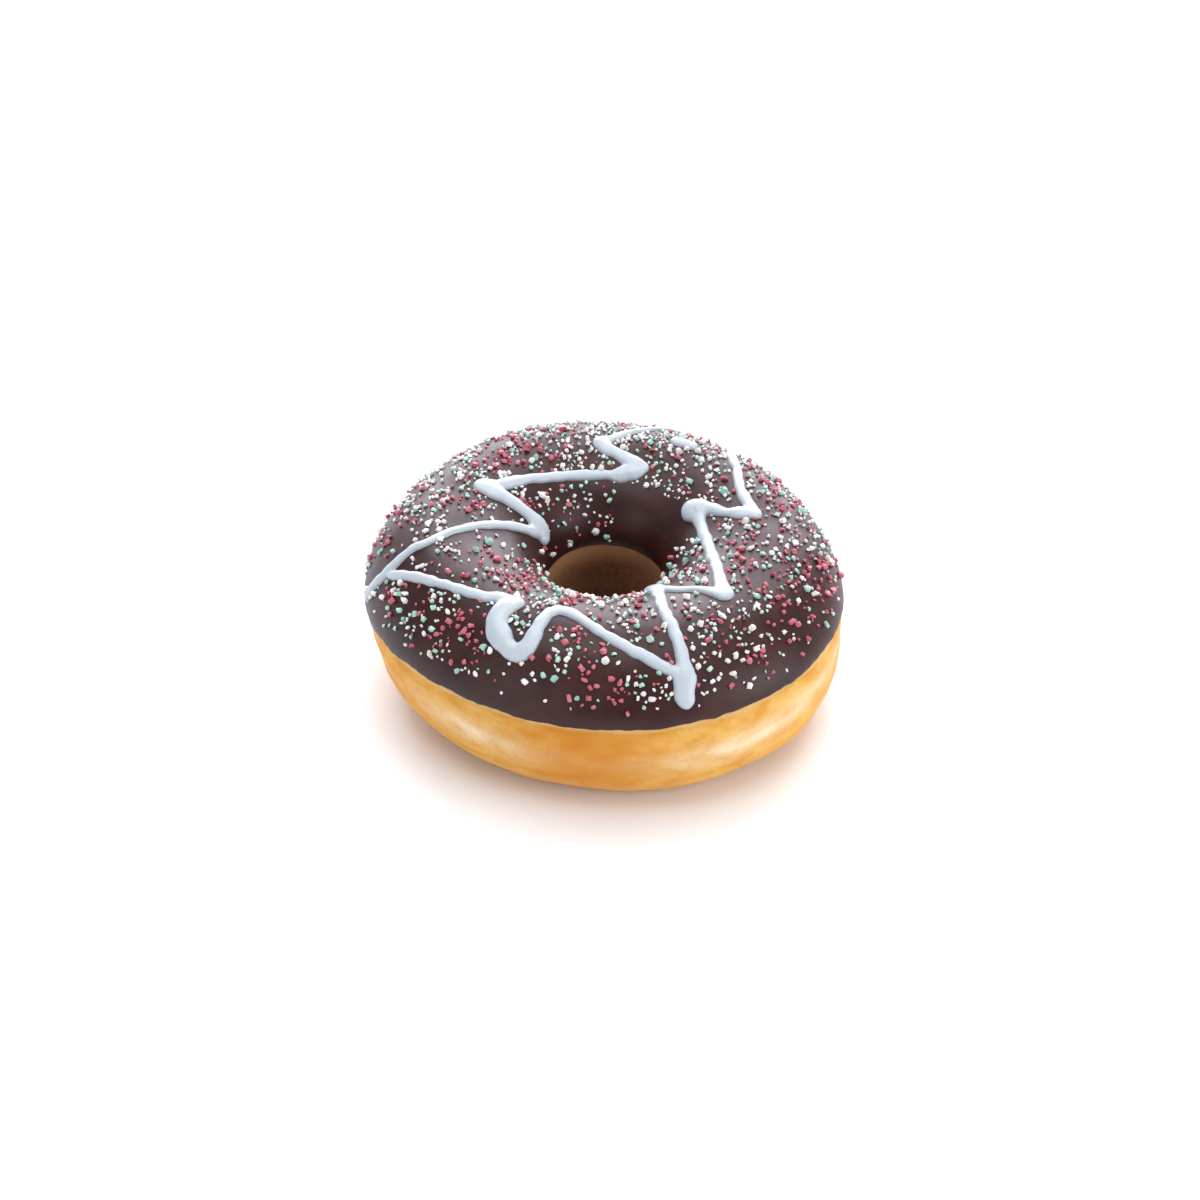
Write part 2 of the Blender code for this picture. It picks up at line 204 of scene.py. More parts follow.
# quads over a grid whose columns go round the ring and whose rows, if closed, go round the section
def gridFaces(rows, columns, closeRows=True):
    row = np.arange(rows if closeRows else rows - 1)[:, None]
    column = np.arange(columns)[None, :]
    nextRow, nextColumn = (row + 1) % rows, (column + 1) % columns
    corners = (row * columns + column, row * columns + nextColumn,
               nextRow * columns + nextColumn, nextRow * columns + column)
    return np.stack([np.broadcast_to(c, (len(row), columns)) for c in corners], axis=-1).reshape(-1, 4)


# one number for each vertex, which the material reads by its name
def addAttribute(piece, name, values):
    attribute = piece.data.attributes.new(name, "FLOAT", "POINT")
    attribute.data.foreach_set("value", np.ascontiguousarray(values, dtype=np.float32).ravel())


# the chocolate, up here because the dough shows bare crumb along its edge
chocolate = {
    "thickness": 1.2, "edgeThinning": 0.25, "edgeBluntness": 6.0,
    "outerEdge": 13.0, "outerWaves": ((6.8, -1.5), (-2.9, 1.3), (0.3, -4.0)),
    "innerEdge": 183.5, "innerWaves": ((3.5, -3.2),),
    "stepsAround": 640, "outerSteps": 118, "innerSteps": 14,
    "bedDepth": 0.2,                                   # how far its underside is sunk into the dough
    "rowCrowding": 0.6,                                # how far its rows crowd at both edges
    "swells": (0.14, 13.0), "ripples": (0.06, 5.0),    # depth and wavelength
    "lap": 0.85,                                       # how far it laps down over the solid's edge
    "edgeWander": 0.17, "edgeNicks": 0.07,             # how far the lower edge strays
    "strayShare": 0.12,                                # and over what share of the section it dies away
    "sectionRadius": 17.0,                             # turns lengths along the section into angles
    # small drips below the edge: azimuth, width in degrees and length
    "drips": ((-66, 1.2, 0.2), (-101, 2.0, 0.15), (31, 2.0, 0.8), (97, 2.6, 0.6), (148, 1.8, 0.7)),
    "colour": "3E1D19", "deepColour": "2E1412",
}


# turns of the chocolate's edges in radians: named angle plus its waves
def shellEdges(azimuth):
    outer = chocolate["outerEdge"] + wave(azimuth, chocolate["outerWaves"])
    inner = chocolate["innerEdge"] + wave(azimuth, chocolate["innerWaves"])
    return np.radians(outer), np.radians(inner)


# Dough

dough = {
    "stepsAround": 440, "stepsAcross": 208,
    "inset": 0.08,                          # kept inside the solid's surface
    "lumps": (0.22, 15.0), "dimples": (0.07, 5.0), "skin": (0.025, 1.6),   # depth and wavelength
    # the pale line round the side that neither frying turned brown: height, reach up and down, dip
    "bandHeight": 13.1, "bandWaves": ((1.6, -0.2), (0.5, -0.4), (0.9, -1.1)),
    "bandReach": 2.7, "bandDip": 0.25,
    "streakWavelength": 7.0, "streakFlatness": 2.2,
    # azimuth, spread in degrees and strength of its palest and of the brownest stretches
    "paleStretches": ((-124, 16, 0.9), (-54, 23, 1.0), (-165, 14, 0.1), (-15, 20, 0.3), (48, 22, 0.6),
                      (104, 18, 0.8), (150, 14, 0.6)),
    "brownStretches": ((-95, 17, 1.0), (-150, 15, 0.4), (-14, 18, 0.4), (20, 14, 0.7),
                        (76, 12, 0.5), (128, 16, 0.8)),
    "golden": "D99B3E", "lightGolden": "E6B460", "browned": "D2842A", "cream": "F3DCB4",
    # the foot colour is painted bounce light, a lighter orange near the floor in place of light thrown up
    # from it; the two hole colours are painted shade, a duller tan over the hole's wall and a darker brown
    # deep in it
    "lip": "E9AE66", "crumb": "EBC78C", "holeWall": "C6946A", "holeDeep": "754A31",
}


# sum over the stretches of strength * exp(-(degrees away / spread)^2)
def stretches(azimuth, listed):
    total = 0.0 * azimuth
    for middle, spread, strength in listed:
        away = (np.degrees(azimuth) - middle + 180) % 360 - 180
        total = total + strength * np.exp(-(away / spread) ** 2)
    return total


# the ring a little inside the solid: -inset - dip * band + unevenness, with its tones as attributes
def makeDough():
    turns = np.linspace(0, 2 * math.pi, dough["stepsAcross"], endpoint=False)[:, None]
    azimuths = np.linspace(0, 2 * math.pi, dough["stepsAround"], endpoint=False)[None, :]
    plain = ringPoints(azimuths, turns, 0.0)
    height = plain[..., 2]
    outerSide = smoothStep(np.cos(turns), -0.1, 0.3)
    away = (height - dough["bandHeight"] - wave(azimuths, dough["bandWaves"])) / dough["bandReach"]
    band = np.exp(-away ** 2) * outerSide
    raised = -dough["inset"] - dough["bandDip"] * band
    for seed, (depth, wavelength) in enumerate((dough["lumps"], dough["dimples"], dough["skin"]), start=1):
        raised = raised + depth * (unevenness(plain, wavelength, seed) - 1) / 2
    points = ringPoints(azimuths, turns, raised)
    piece = makePiece("fried_dough_ring", points, gridFaces(*points.shape[:2]))

    # where the crust is pale or brown, where painted bounce light lightens it near the foot, where bare
    # crumb shows, and where painted shade darkens the hole
    streaks = unevenness(plain * (1, 1, dough["streakFlatness"]), dough["streakWavelength"], 7)
    pale = band * stretches(azimuths, dough["paleStretches"]) * (0.85 + 0.3 * streaks)
    brown = outerSide * stretches(azimuths, dough["brownStretches"]) * (0.8 + 0.25 * streaks)
    # painted bounce light on the outer side near the floor: a lighter colour, full up to 3 mm and gone by 7
    # mm
    lip = smoothStep(-height, -7.0, -3.0) * outerSide * 0.8              # up to 3 mm, gone by 7 mm
    edgeTurns = np.where(turns > math.pi, turns - 2 * math.pi, turns)
    outerEdge, innerEdge = shellEdges(azimuths)
    lapped = outerEdge - chocolate["lap"] / chocolate["sectionRadius"]
    under = smoothStep(-np.abs(edgeTurns - lapped + 0.02), -0.05, -0.015)
    # painted shade inside the hole: the whole wall turns a duller tan, and darker brown lower down, less so
    # towards the left and right sides
    inHole = smoothStep(-np.cos(turns), 0.2, 0.8)
    deep = inHole * smoothStep(-height, -20.0, -14.0) * (1 - 0.9 * np.cos(azimuths) ** 2)
    for name, values in (("pale", pale), ("brown", brown), ("lip", lip), ("crumb", 0.7 * under),
                         ("holeWall", inHole), ("holeDeep", deep)):
        addAttribute(piece, name, np.clip(np.broadcast_to(values, height.shape), 0, 1))
    return piece


# Yeast dough fried in oil: a thin matt crust, golden with soft blotches, browner where it lay longest
# in the oil and pale round the middle, with a soft crumb under it that lets a little light through.
def friedDough():
    material, tree, shader = startMaterial("fried_yeast_dough", {
        "Roughness": 0.6, "IOR": 1.45, "Specular IOR Level": 0.12, "Subsurface Weight": 0.10,
        "Subsurface Scale": 0.0012, "Subsurface Radius": (1.0, 0.55, 0.25)})
    place = addNode(tree, "ShaderNodeTexCoord")
    flat = addNode(tree, "ShaderNodeMapping", None, {
        "Vector": (place, "Object"), "Scale": [1.0, 1.0, 1.8]})
    blotch = addNode(tree, "ShaderNodeTexNoise", None, {
        "Vector": (flat, "Vector"), "Scale": 190.0, "Detail": 5.0, "Roughness": 0.55})    # 5 mm blotches
    pore = addNode(tree, "ShaderNodeTexNoise", None, {
        "Vector": (place, "Object"), "Scale": 1300.0, "Detail": 3.0, "Roughness": 0.6})   # 0.8 mm pores
    gold = addNode(tree, "ShaderNodeValToRGB", None, {"Fac": (blotch, "Fac")},
                   [(0.39, linear(dough["golden"])), (0.61, linear(dough["lightGolden"]))])
    colour = gold, "Color"
    # over the crust's own tones these mixes also lay painted bounce light on the foot and painted shade in
    # the hole
    for name in ("brown", "pale", "lip", "crumb", "holeWall", "holeDeep"):
        amount = addNode(tree, "ShaderNodeAttribute", {"attribute_name": name})
        hexColour = dough[{"brown": "browned", "pale": "cream"}.get(name, name)]
        blend = addNode(tree, "ShaderNodeMix", {"data_type": "RGBA"}, {
            0: (amount, "Fac"), 6: colour, 7: linear(hexColour)})
        colour = blend, 2
    speck = addNode(tree, "ShaderNodeMapRange", None, {
        "Value": (pore, "Fac"), "From Min": 0.5, "From Max": 0.8, "To Min": 0.0, "To Max": 0.4})
    speckled = addNode(tree, "ShaderNodeMix", {"data_type": "RGBA"}, {
        0: (speck, "Result"), 6: colour, 7: linear(dough["browned"])})
    tree.links.new(speckled.outputs[2], shader.inputs["Base Color"])
    relief = addNode(tree, "ShaderNodeMath", {"operation": "ADD"}, {
        0: (pore, "Fac"), 1: (blotch, "Fac")})
    bump = addNode(tree, "ShaderNodeBump", None, {
        "Height": (relief, "Value"), "Strength": 0.45, "Distance": 0.00025})
    tree.links.new(bump.outputs["Normal"], shader.inputs["Normal"])
    return material


doughPiece = makeDough()
doughPiece.data.materials.append(friedDough())
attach(doughPiece, "root")
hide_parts("dough")
print("dough made")


# Chocolate

# share of the full thickness: thinning + (1 - thinning) * sqrt(1 - |2 share - 1|^bluntness)
def shellRaise(azimuth, turn):
    outerEdge, innerEdge = shellEdges(azimuth)
    share = np.clip((turn - outerEdge) / (innerEdge - outerEdge), 0, 1)
    rise = np.sqrt(np.clip(1 - np.abs(2 * share - 1) ** chocolate["edgeBluntness"], 0, 1))
    thin = chocolate["edgeThinning"]
    raised = chocolate["thickness"] * (thin + (1 - thin) * rise)
    plain = ringPoints(azimuth, turn, 0.0)
    for seed, (depth, wavelength) in enumerate((chocolate["swells"], chocolate["ripples"]), start=20):
        raised = raised + rise * depth * (unevenness(plain, wavelength, seed) - 1) / 2
    return raised


# points on the chocolate's outer face, in millimetres
def shellPoints(azimuth, turn):
    return ringPoints(azimuth, turn, shellRaise(azimuth, turn))


# outer and inner face as one closed sheet; the turns stray by length / section radius near the lower
# edge, by the sum of wander, nicks, lap and a bell for each drip
def makeChocolate():
    azimuths = np.linspace(0, 2 * math.pi, chocolate["stepsAround"], endpoint=False)[None, :]
    outerEdge, innerEdge = shellEdges(azimuths)
    rim = ringPoints(azimuths, outerEdge, 0.0)
    stray = chocolate["edgeWander"] * unevenness(rim, 9.0, 31) - chocolate["lap"]
    stray = stray + chocolate["edgeNicks"] * unevenness(rim, 2.2, 32)
    for middle, width, length in chocolate["drips"]:
        away = (np.degrees(azimuths) - middle + 180) % 360 - 180
        stray = stray - length * np.exp(-(away / width) ** 2)
    share = np.linspace(0, 1, chocolate["outerSteps"])[:, None]
    share = share - chocolate["rowCrowding"] * np.sin(2 * math.pi * share) / (2 * math.pi)
    fade = (1 - smoothStep(share, 0.0, chocolate["strayShare"])) * stray / chocolate["sectionRadius"]
    turns = outerEdge + share * (innerEdge - outerEdge)
    outerFace = ringPoints(azimuths, turns + fade, shellRaise(azimuths, turns))
    back = np.linspace(1, 0, chocolate["innerSteps"])[:, None]
    innerTurns = outerEdge + back * (innerEdge - outerEdge)
    innerFade = (1 - smoothStep(back, 0.0, chocolate["strayShare"])) * stray / chocolate["sectionRadius"]
    innerFace = ringPoints(azimuths, innerTurns + innerFade, -chocolate["bedDepth"])
    points = withinBox(np.vstack([outerFace, innerFace]))
    return makePiece("dark_chocolate_coat", points, gridFaces(*points.shape[:2]))


# Dark chocolate coating, dipped warm and set: satin, slightly uneven where it ran, so that the
# window's reflection breaks up softly, with a faint redder mottling.
def dippedChocolate():
    material, tree, shader = startMaterial("dipped_dark_chocolate", {
        "Roughness": 0.38, "IOR": 1.46, "Specular IOR Level": 0.37})
    place = addNode(tree, "ShaderNodeTexCoord")
    mottle = addNode(tree, "ShaderNodeTexNoise", None, {
        "Vector": (place, "Object"), "Scale": 160.0, "Detail": 5.0, "Roughness": 0.55})  # 6 mm mottling
    colour = addNode(tree, "ShaderNodeValToRGB", None, {"Fac": (mottle, "Fac")},
                     [(0.35, linear(chocolate["deepColour"])), (0.68, linear(chocolate["colour"]))])
    tree.links.new(colour.outputs["Color"], shader.inputs["Base Color"])
    dull = addNode(tree, "ShaderNodeMapRange", None, {
        "Value": (mottle, "Fac"), "From Min": 0.3, "From Max": 0.7, "To Min": 0.36, "To Max": 0.46})
    tree.links.new(dull.outputs["Result"], shader.inputs["Roughness"])
    grain = addNode(tree, "ShaderNodeTexNoise", None, {
        "Vector": (place, "Object"), "Scale": 1600.0, "Detail": 4.0, "Roughness": 0.6})  # 0.6 mm grain
    bump = addNode(tree, "ShaderNodeBump", None, {
        "Height": (grain, "Fac"), "Strength": 0.25, "Distance": 0.00012})
    tree.links.new(bump.outputs["Normal"], shader.inputs["Normal"])
    return material


chocolatePiece = makeChocolate()
chocolatePiece.data.materials.append(dippedChocolate())
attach(chocolatePiece, "root")
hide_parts("chocolate_glaze")
print("chocolate made")


# Drizzle

drizzle = {
    # azimuth and turn in degrees and half width at each station of each stroke, as poured
    "strokes": (
        ((9, 97, 1.2), (17, 98, 1.2), (27, 96, 1.05), (36, 87, 1.0), (45, 75, 1.0), (51, 58, 1.0),
         (58, 46, 1.2), (65, 52, 1.0), (70, 65, 0.8), (76, 80, 0.7), (86, 94, 1.0), (92, 101, 1.6)),
        ((92, 101, 1.6), (90, 106, 1.6), (84, 111, 1.3), (77, 116, 1.7), (71, 118, 0.9)),
        ((71, 118, 0.9), (77, 123, 1.9), (88, 127, 1.15), (118, 124, 1.05), (146, 113, 1.3),
         (155, 104, 1.6)),
        ((155, 104, 1.6), (155, 114, 1.8), (153, 136, 1.5), (153, 147, 1.85), (156, 154, 1.5)),
        ((160, 147, 1.5), (168, 138, 1.1), (183, 112, 0.95), (192, 82.5, 0.95), (192.5, 67, 1.05),
         (193, 47, 1.15), (190, 17, 1.1)),
        ((195, 46, 0.9), (203.5, 61.5, 1.0), (215, 74, 1.0), (226.5, 82.5, 1.1), (232, 88, 1.3),
         (238, 90, 1.3)),
        ((238, 90, 1.3), (236, 81, 1.9), (237, 69, 2.2), (241, 60, 2.15), (245.5, 54.5, 1.75),
         (248.3, 62, 1.55), (249.5, 87, 1.2), (252, 96, 1.15)),
        ((252, 96, 1.15), (258, 95, 1.15), (266, 84, 1.0), (279, 64, 1.05), (287, 49, 1.2)),
        ((288, 30, 1.6), (288, 36, 2.0), (289, 45, 1.9), (290, 64, 1.15), (291, 96, 1.1),
         (294, 113, 1.2), (300, 137, 1.5)),
        ((300, 137, 1.5), (304, 120, 0.9), (310, 109, 0.9), (313, 100, 1.2), (315, 92, 1.6)),
        ((315, 92, 1.6), (324, 106, 1.2), (342, 122, 1.2), (363, 130, 1.2), (380, 130.5, 1.3),
         (390, 129, 2.35)),
        ((390, 129, 2.35), (383, 120, 1.5), (376, 114, 1.1), (372, 105, 1.5), (369, 97, 1.2)),
        ((58, 86, 1.1), (64, 87, 1.3)),
    ),
    "step": 0.8,                                # between the points of a stroke's smooth path
    "margin": 1.6, "sectionRadius": 13.0,       # how far past its edge a stroke looks, and the tightest bend
    "stepsAround": 1250, "stepsAcross": 275, "lowestTurn": 8.0, "highestTurn": 168.0,
    "flatness": 0.45, "lift": 0.25,             # height is half width * flatness + lift
    "blend": 0.30,                              # how far strokes flow into each other where they meet
    "root": 0.35, "flank": 1.6,                 # how deep it sits and how steeply its foot goes under
    "widthWander": 0.08, "edgeWander": 0.07,
    "colour": "BCC5CC", "thinColour": "A2ABB5",
}


# Catmull-Rom curve through the stations, in both angles and the half width, then points at even steps
def strokePath(stations, step, spanSamples=8):
    knots = np.array(stations, dtype=float)
    knots[:, :2] = np.radians(knots[:, :2])
    knots = np.vstack([2 * knots[0] - knots[1], knots, 2 * knots[-1] - knots[-2]])
    share = np.linspace(0, 1, spanSamples, endpoint=False)[:, None]
    fine = []
    for first, start, end, last in zip(knots, knots[1:], knots[2:], knots[3:]):
        slope, nextSlope = (end - first) / 2, (last - start) / 2
        bend = 3 * (end - start) - 2 * slope - nextSlope
        twist = 2 * (start - end) + slope + nextSlope
        fine.append(start + slope * share + bend * share ** 2 + twist * share ** 3)
    fine = np.vstack(fine + [knots[-2:-1]])
    points = ringPoints(fine[:, 0], fine[:, 1], chocolate["thickness"])
    travelled = np.concatenate([[0], np.cumsum(np.linalg.norm(np.diff(points, axis=0), axis=1))])
    stops = np.linspace(0, travelled[-1], max(2, round(travelled[-1] / step) + 1))
    return np.stack([np.interp(stops, travelled, column) for column in fine.T], axis=-1)


# for one stroke: how far inside its outline each grid point lies, half width - distance to the path,
# and the half width there; each short length of the path looks only at the grid round it
def strokeField(points, azimuths, turns, stations, seed):
    path = strokePath(stations, drizzle["step"])
    places = shellPoints(path[:, 0], path[:, 1])
    halfWidths = path[:, 2] * (1 + drizzle["widthWander"] * unevenness(places, 3.2, seed))
    inside = np.full(points.shape[:2], -9.0)
    width = np.ones(points.shape[:2])
    stepAround, stepAcross = azimuths[1] - azimuths[0], turns[1] - turns[0]
    for i in range(len(path) - 1):
        reach = max(halfWidths[i], halfWidths[i + 1]) + drizzle["margin"]
        rise = reach / drizzle["sectionRadius"]
        radius = np.hypot(*places[i][:2])
        nearAround = (path[i:i + 2, 0].min() - reach / radius, path[i:i + 2, 0].max() + reach / radius)
        nearAcross = (path[i:i + 2, 1].min() - rise, path[i:i + 2, 1].max() + rise)
        columns = np.arange(math.floor(nearAround[0] / stepAround), math.ceil(nearAround[1] / stepAround))
        first = max(0, math.floor((nearAcross[0] - turns[0]) / stepAcross))
        last = min(len(turns), math.ceil((nearAcross[1] - turns[0]) / stepAcross))
        window = np.ix_(np.arange(first, last), columns % len(azimuths))
        along = places[i + 1] - places[i]
        offset = points[window] - places[i]
        share = np.clip(offset @ along / (along @ along), 0, 1)
        distance = np.linalg.norm(offset - share[..., None] * along, axis=-1)
        half = halfWidths[i] + share * (halfWidths[i + 1] - halfWidths[i])
        better = half - distance > inside[window]
        inside[window] = np.where(better, half - distance, inside[window])
        width[window] = np.where(better, half, width[window])
    return inside, width


# all strokes flowed together: inside = blend * log of the sum of exp(inside_i / blend), half widths
# averaged with the same weights, and height = (flatness + lift / width) * sqrt(e * (2 width - e))
def drizzleHeight(points, azimuths, turns):
    blend = drizzle["blend"]
    fields = [strokeField(points, azimuths, turns, stations, 40 + number)
              for number, stations in enumerate(drizzle["strokes"])]
    inside = np.stack([field[0] for field in fields])
    most = inside.max(axis=0)
    weights = np.exp((inside - most) / blend)
    total = weights.sum(axis=0)
    width = (weights * np.stack([field[1] for field in fields])).sum(axis=0) / total
    most = most + blend * np.log(total) * smoothStep(most, -1.0, 0.0)
    most = most + drizzle["edgeWander"] * unevenness(points, 2.6, 60)
    within = np.clip(most, 0, width)
    dome = (drizzle["flatness"] + drizzle["lift"] / width) * np.sqrt(within * (2 * width - within))
    return np.where(most > 0, dome, np.maximum(most * drizzle["flank"], -drizzle["root"]))


# the height laid on the chocolate, kept only where it shows, and closed by a sheet under it and a wall
def makeDrizzle():
    azimuths = np.linspace(0, 2 * math.pi, drizzle["stepsAround"], endpoint=False)
    turns = np.radians(np.linspace(drizzle["lowestTurn"], drizzle["highestTurn"], drizzle["stepsAcross"]))
    raised = shellRaise(azimuths[None, :], turns[:, None])
    base = ringPoints(azimuths[None, :], turns[:, None], raised)
    height = drizzleHeight(base, azimuths, turns)
    top = ringPoints(azimuths[None, :], turns[:, None], raised + height).reshape(-1, 3)
    under = ringPoints(azimuths[None, :], turns[:, None], raised - drizzle["root"]).reshape(-1, 3)
    quads = gridFaces(*height.shape, closeRows=False)
    quads = quads[(height.ravel()[quads] > -drizzle["root"]).any(axis=1)]
    used, local = np.unique(quads, return_inverse=True)
    quads = local.reshape(-1, 4)
    edges = np.stack([quads, np.roll(quads, -1, axis=1)], axis=-1).reshape(-1, 2)
    codes = edges[:, 0] * len(used) + edges[:, 1]
    reverse = edges[:, 1] * len(used) + edges[:, 0]
    rim = edges[~np.isin(codes, reverse)]
    walls = np.stack([rim[:, 1], rim[:, 0], rim[:, 0] + len(used), rim[:, 1] + len(used)], axis=-1)
    points = np.vstack([top[used], under[used]])
    faces = np.vstack([quads, quads[:, ::-1] + len(used), walls])
    piece = makePiece("white_icing_drizzle", points, faces)
    addAttribute(piece, "depth", np.tile(np.clip(height.ravel()[used], 0, None), 2))
    return piece


# Poured sugar icing, set: cool white, smooth with a soft gloss, and darker where it is thin and the
# chocolate shows through.
def pouredIcing():
    material, tree, shader = startMaterial("poured_sugar_icing", {
        "Roughness": 0.34, "IOR": 1.46, "Subsurface Weight": 0.25, "Subsurface Scale": 0.0012,
        "Subsurface Radius": (0.9, 0.95, 1.0), "Coat Weight": 0.15, "Coat Roughness": 0.2})
    place = addNode(tree, "ShaderNodeTexCoord")
    depth = addNode(tree, "ShaderNodeAttribute", {"attribute_name": "depth"})
    thick = addNode(tree, "ShaderNodeMapRange", None, {
        "Value": (depth, "Fac"), "From Min": 0.05, "From Max": 0.6})
    colour = addNode(tree, "ShaderNodeMix", {"data_type": "RGBA"}, {
        0: (thick, "Result"), 6: linear(drizzle["thinColour"]), 7: linear(drizzle["colour"])})
    tree.links.new(colour.outputs[2], shader.inputs["Base Color"])
    grain = addNode(tree, "ShaderNodeTexNoise", None, {
        "Vector": (place, "Object"), "Scale": 1400.0, "Detail": 3.0})                    # 0.7 mm grain
    bump = addNode(tree, "ShaderNodeBump", None, {
        "Height": (grain, "Fac"), "Strength": 0.15, "Distance": 0.0001})
    tree.links.new(bump.outputs["Normal"], shader.inputs["Normal"])
    return material


drizzlePiece = makeDrizzle()
drizzlePiece.data.materials.append(pouredIcing())
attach(drizzlePiece, "root")
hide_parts("chocolate_glaze")
print("drizzle made")


# Nibs

nibs = {
    "largeCount": 120, "largeSizes": (1.2, 1.7), "largeSpacing": 3.4, "largeSeed": 12,
    "clearOfDrizzle": 1.3, "clearOfEdge": 6.0, "sparseBelt": 26.0,
    "bareWall": (10.0, 85.0, 132.0),            # azimuths from and to, and the turn it starts at
    "otherCount": 2500, "otherSizes": (0.65, 1.6), "otherSeed": 77, "otherClear": 0.2,
    "draws": 30000, "chance": 0.42, "sizeFall": 2.4,         # the fall makes big ones rare
    "edgeFade": (4.0, 30.0), "holeFade": (3.0, 25.0),        # degrees from each edge: none, then all
    "crowding": 0.36,                                        # least gap in shares of two nibs' sizes
    # azimuth, turn, radius in mm and change: -1 leaves a patch bare, 1 doubles the nibs on it
    "patches": ((-165, 64, 6.0, -0.9), (-108, 33, 6.5, -0.9), (-150, 98, 8.0, 0.5), (-105, 112, 8.0, 0.5),
                (75, 88, 10.0, 0.9), (110, 88, 10.0, 0.9), (150, 98, 8.0, 0.4), (20, 68, 9.0, 0.3),
                (165, 40, 6.0, -0.8), (128, 80, 5.0, -0.6), (-150, 82, 4.0, -0.7),
                (-178, 148, 7.0, -0.9), (-52, 112, 5.0, -0.6), (-176, 30, 6.0, -0.6),
                (-166, 128, 7.0, -0.7), (-95, 106, 6.0, -0.5), (-39, 74, 5.0, -0.5),
                (8, 165, 4.0, -0.8), (128, 150, 6.0, -0.7), (-172, 37, 6.0, -0.7)),
    "clumps": ((0.4, 11.0), (0.55, 4.5)),       # how strongly they clump, and over what wavelength
    "lift": 0.16, "roughness": (0.72, 1.16), "slenderness": (0.45, 1.05),
    "around": 6, "rings": 3, "blockiness": 0.6,
    # name, light and deep colour, and share of all nibs
    "kinds": (("coral_sugar_nibs", "C76F7B", "AE4C5C", 0.31), ("mint_sugar_nibs", "B5DACD", "94C3B4", 0.22),
              ("white_sugar_nibs", "F6F3F0", "E2DDD8", 0.47)),
    "huddle": 0.7,                              # how far nibs of one colour lie together
    # azimuth, turn, radius in mm and pull of places where one colour prevails: coral below 0, white above
    "colourPlaces": ((-132, 117, 6.0, -1.8), (-152, 106, 5.0, -1.8), (-30, 97, 5.0, -1.8),
                     (-12, 57, 6.5, -1.5), (-34, 47, 6.0, -1.8), (-130, 52, 5.0, -1.8),
                     (-93, 42, 5.0, -1.8), (127, 90, 7.0, -1.6), (165, 97, 4.0, -1.4),
                     (92, 88, 13.0, 0.9), (150, 60, 9.0, 1.0), (-172, 75, 7.0, 1.0), (20, 68, 8.0, -1.0),
                     (-178, 51, 5.0, -1.8)),
}


# points in millimetres along every stroke, and the half widths there
def drizzleCover(step):
    paths = np.vstack([strokePath(stations, step) for stations in drizzle["strokes"]])
    return ringPoints(paths[:, 0], paths[:, 1], chocolate["thickness"]), paths[:, 2]


# the large nibs, by the rule that placed them in the solid: azimuth, turn and size
def largeNibPlaces():
    rng = np.random.default_rng(nibs["largeSeed"])
    strokePoints, strokeWidths = drizzleCover(2.6)
    wallFrom, wallTo, wallTurn = np.radians(nibs["bareWall"])
    kept, keptPoints = [], np.empty((0, 3))
    while len(kept) < nibs["largeCount"]:
        azimuth, share, luck, beltLuck = rng.uniform(0.0, 1.0, 4)
        azimuth = azimuth * 2.0 * math.pi
        outerEdge, innerEdge = shellEdges(azimuth)
        turn = outerEdge + share * (innerEdge - outerEdge)
        radius, _ = section(azimuth, turn)
        aboveEdge, belowEdge = math.degrees(turn - outerEdge), math.degrees(innerEdge - turn)
        if min(aboveEdge, belowEdge) < nibs["clearOfEdge"] or beltLuck * nibs["sparseBelt"] > aboveEdge:
            continue
        onBareWall = wallFrom < azimuth < wallTo and turn > wallTurn
        if onBareWall or luck * ring["outerRadius"] > radius:
            continue
        point = ringPoints(azimuth, turn, chocolate["thickness"])
        gaps = np.linalg.norm(strokePoints - point, axis=1) - strokeWidths
        if gaps.min() < nibs["clearOfDrizzle"]:
            continue
        if len(kept) and np.linalg.norm(keptPoints - point, axis=1).min() < nibs["largeSpacing"]:
            continue
        kept.append((azimuth, turn, rng.uniform(*nibs["largeSizes"])))
        keptPoints = np.vstack([keptPoints, point])
    return np.array(kept)


